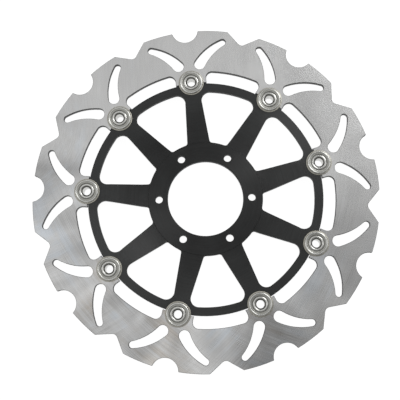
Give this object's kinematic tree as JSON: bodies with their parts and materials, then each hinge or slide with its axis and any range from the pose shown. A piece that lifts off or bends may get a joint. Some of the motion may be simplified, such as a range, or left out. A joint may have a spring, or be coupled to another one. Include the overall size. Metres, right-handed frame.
{
  "type": "floating brake disc",
  "caption": "Full-floating motorcycle front brake disc: scalloped, slotted brake ring carried on spring-loaded bobbins by a dished, spoked hub with a central bore.",
  "frame": {"origin": "on the disc axis, at the hub's back (mounting) face", "axes": "+Z along the disc axis, outboard, towards the bobbins' flanges; +X through a bolt hole"},
  "size_m": [0.296, 0.296, 0.0141],
  "materials": {
    "ground_steel": "ground stainless steel",
    "black_anodised": "matt black hard anodised",
    "plated_steel": "warm grey plated",
    "shim_steel": "satin",
    "spring_steel": "dark phosphated"
  },
  "bodies": {
    "carrier": {"carrier": "black_anodised"},
    "brake_ring": {"brake_ring": "ground_steel", "back_washer_1": "plated_steel", "back_washer_2": "plated_steel", "back_washer_3": "plated_steel", "back_washer_4": "plated_steel", "back_washer_5": "plated_steel", "back_washer_6": "plated_steel", "back_washer_7": "plated_steel", "back_washer_8": "plated_steel", "back_washer_9": "plated_steel"},
    "bobbin_1": {"bobbin_1": "plated_steel", "front_shim_1": "shim_steel", "disc_spring_1": "spring_steel", "circlip_1": "spring_steel"},
    "bobbin_2": {"bobbin_2": "plated_steel", "front_shim_2": "shim_steel", "disc_spring_2": "spring_steel", "circlip_2": "spring_steel"},
    "bobbin_3": {"bobbin_3": "plated_steel", "front_shim_3": "shim_steel", "disc_spring_3": "spring_steel", "circlip_3": "spring_steel"},
    "bobbin_4": {"bobbin_4": "plated_steel", "front_shim_4": "shim_steel", "disc_spring_4": "spring_steel", "circlip_4": "spring_steel"},
    "bobbin_5": {"bobbin_5": "plated_steel", "front_shim_5": "shim_steel", "disc_spring_5": "spring_steel", "circlip_5": "spring_steel"},
    "bobbin_6": {"bobbin_6": "plated_steel", "front_shim_6": "shim_steel", "disc_spring_6": "spring_steel", "circlip_6": "spring_steel"},
    "bobbin_7": {"bobbin_7": "plated_steel", "front_shim_7": "shim_steel", "disc_spring_7": "spring_steel", "circlip_7": "spring_steel"},
    "bobbin_8": {"bobbin_8": "plated_steel", "front_shim_8": "shim_steel", "disc_spring_8": "spring_steel", "circlip_8": "spring_steel"},
    "bobbin_9": {"bobbin_9": "plated_steel", "front_shim_9": "shim_steel", "disc_spring_9": "spring_steel", "circlip_9": "spring_steel"}
  },
  "joints": [
    {"name": "ring_float", "type": "slide", "parent": "carrier", "child": "brake_ring", "axis": [0, 0, 1], "range_m": [-0.0004, 0], "stiffness_N_per_m": 50000, "springref_m": 0.0005, "deforming": ["disc_spring_1", "disc_spring_2", "disc_spring_3", "disc_spring_4", "disc_spring_5", "disc_spring_6", "disc_spring_7", "disc_spring_8", "disc_spring_9"]},
    {"name": "bobbin_1_spin", "type": "hinge", "parent": "carrier", "child": "bobbin_1", "pos_m": [0.09781, 0.02712, 0.01], "axis": [0, 0, 1], "continuous": true},
    {"name": "bobbin_2_spin", "type": "hinge", "parent": "carrier", "child": "bobbin_2", "pos_m": [0.05749, 0.08365, 0.01], "axis": [0, 0, 1], "continuous": true},
    {"name": "bobbin_3_spin", "type": "hinge", "parent": "carrier", "child": "bobbin_3", "pos_m": [-0.00973, 0.10103, 0.01], "axis": [0, 0, 1], "continuous": true},
    {"name": "bobbin_4_spin", "type": "hinge", "parent": "carrier", "child": "bobbin_4", "pos_m": [-0.07239, 0.07114, 0.01], "axis": [0, 0, 1], "continuous": true},
    {"name": "bobbin_5_spin", "type": "hinge", "parent": "carrier", "child": "bobbin_5", "pos_m": [-0.10119, 0.00796, 0.01], "axis": [0, 0, 1], "continuous": true},
    {"name": "bobbin_6_spin", "type": "hinge", "parent": "carrier", "child": "bobbin_6", "pos_m": [-0.08263, -0.05894, 0.01], "axis": [0, 0, 1], "continuous": true},
    {"name": "bobbin_7_spin", "type": "hinge", "parent": "carrier", "child": "bobbin_7", "pos_m": [-0.02541, -0.09827, 0.01], "axis": [0, 0, 1], "continuous": true},
    {"name": "bobbin_8_spin", "type": "hinge", "parent": "carrier", "child": "bobbin_8", "pos_m": [0.0437, -0.09161, 0.01], "axis": [0, 0, 1], "continuous": true},
    {"name": "bobbin_9_spin", "type": "hinge", "parent": "carrier", "child": "bobbin_9", "pos_m": [0.09236, -0.04209, 0.01], "axis": [0, 0, 1], "continuous": true}
  ]
}
